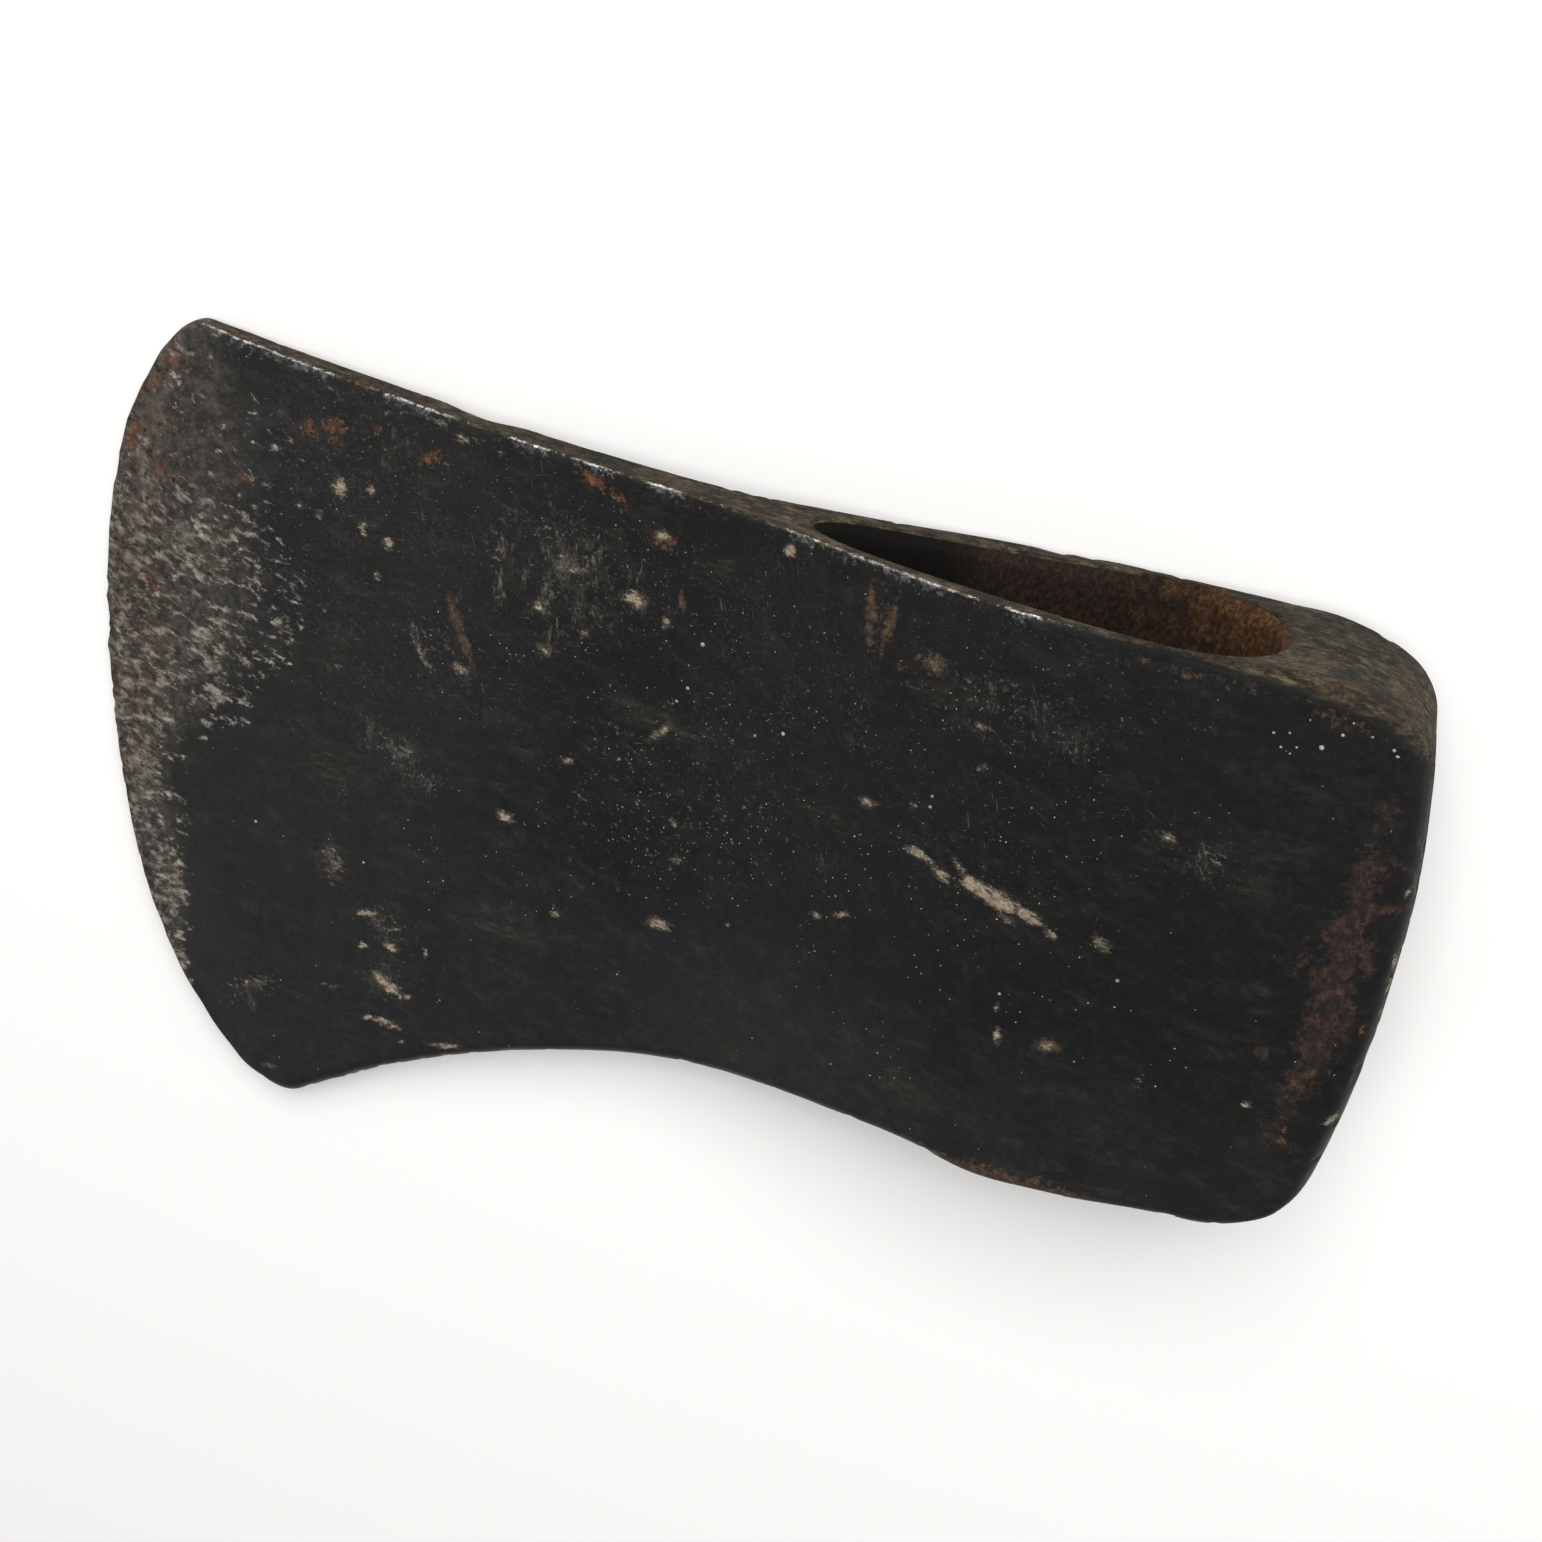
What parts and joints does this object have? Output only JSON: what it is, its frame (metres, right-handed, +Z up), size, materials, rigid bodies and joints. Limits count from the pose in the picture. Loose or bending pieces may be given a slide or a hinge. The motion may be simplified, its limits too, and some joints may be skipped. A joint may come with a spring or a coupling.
{
  "type": "axe head",
  "caption": "Forged steel felling-axe head without its haft: a thin flared blade with an arched cutting edge, a tapered oval eye right through, and a plain squared poll, lying on one cheek.",
  "frame": {"origin": "Middle of the head's plan box, on the surface that the head lies on.", "axes": "+X runs from the cutting edge towards the poll, +Y along the eye towards the haft's outer end, +Z up, away from the surface. The head lies on its far cheek, its middle plane turned about 5 degrees about Y."},
  "size_m": [0.1902, 0.1228, 0.0308],
  "materials": {
    "axe_head": "forged steel with an old black satin patina, worn to grey at the bit and rusted inside the eye"
  },
  "bodies": {
    "root": {"axe_head": "axe_head"}
  },
  "joints": []
}
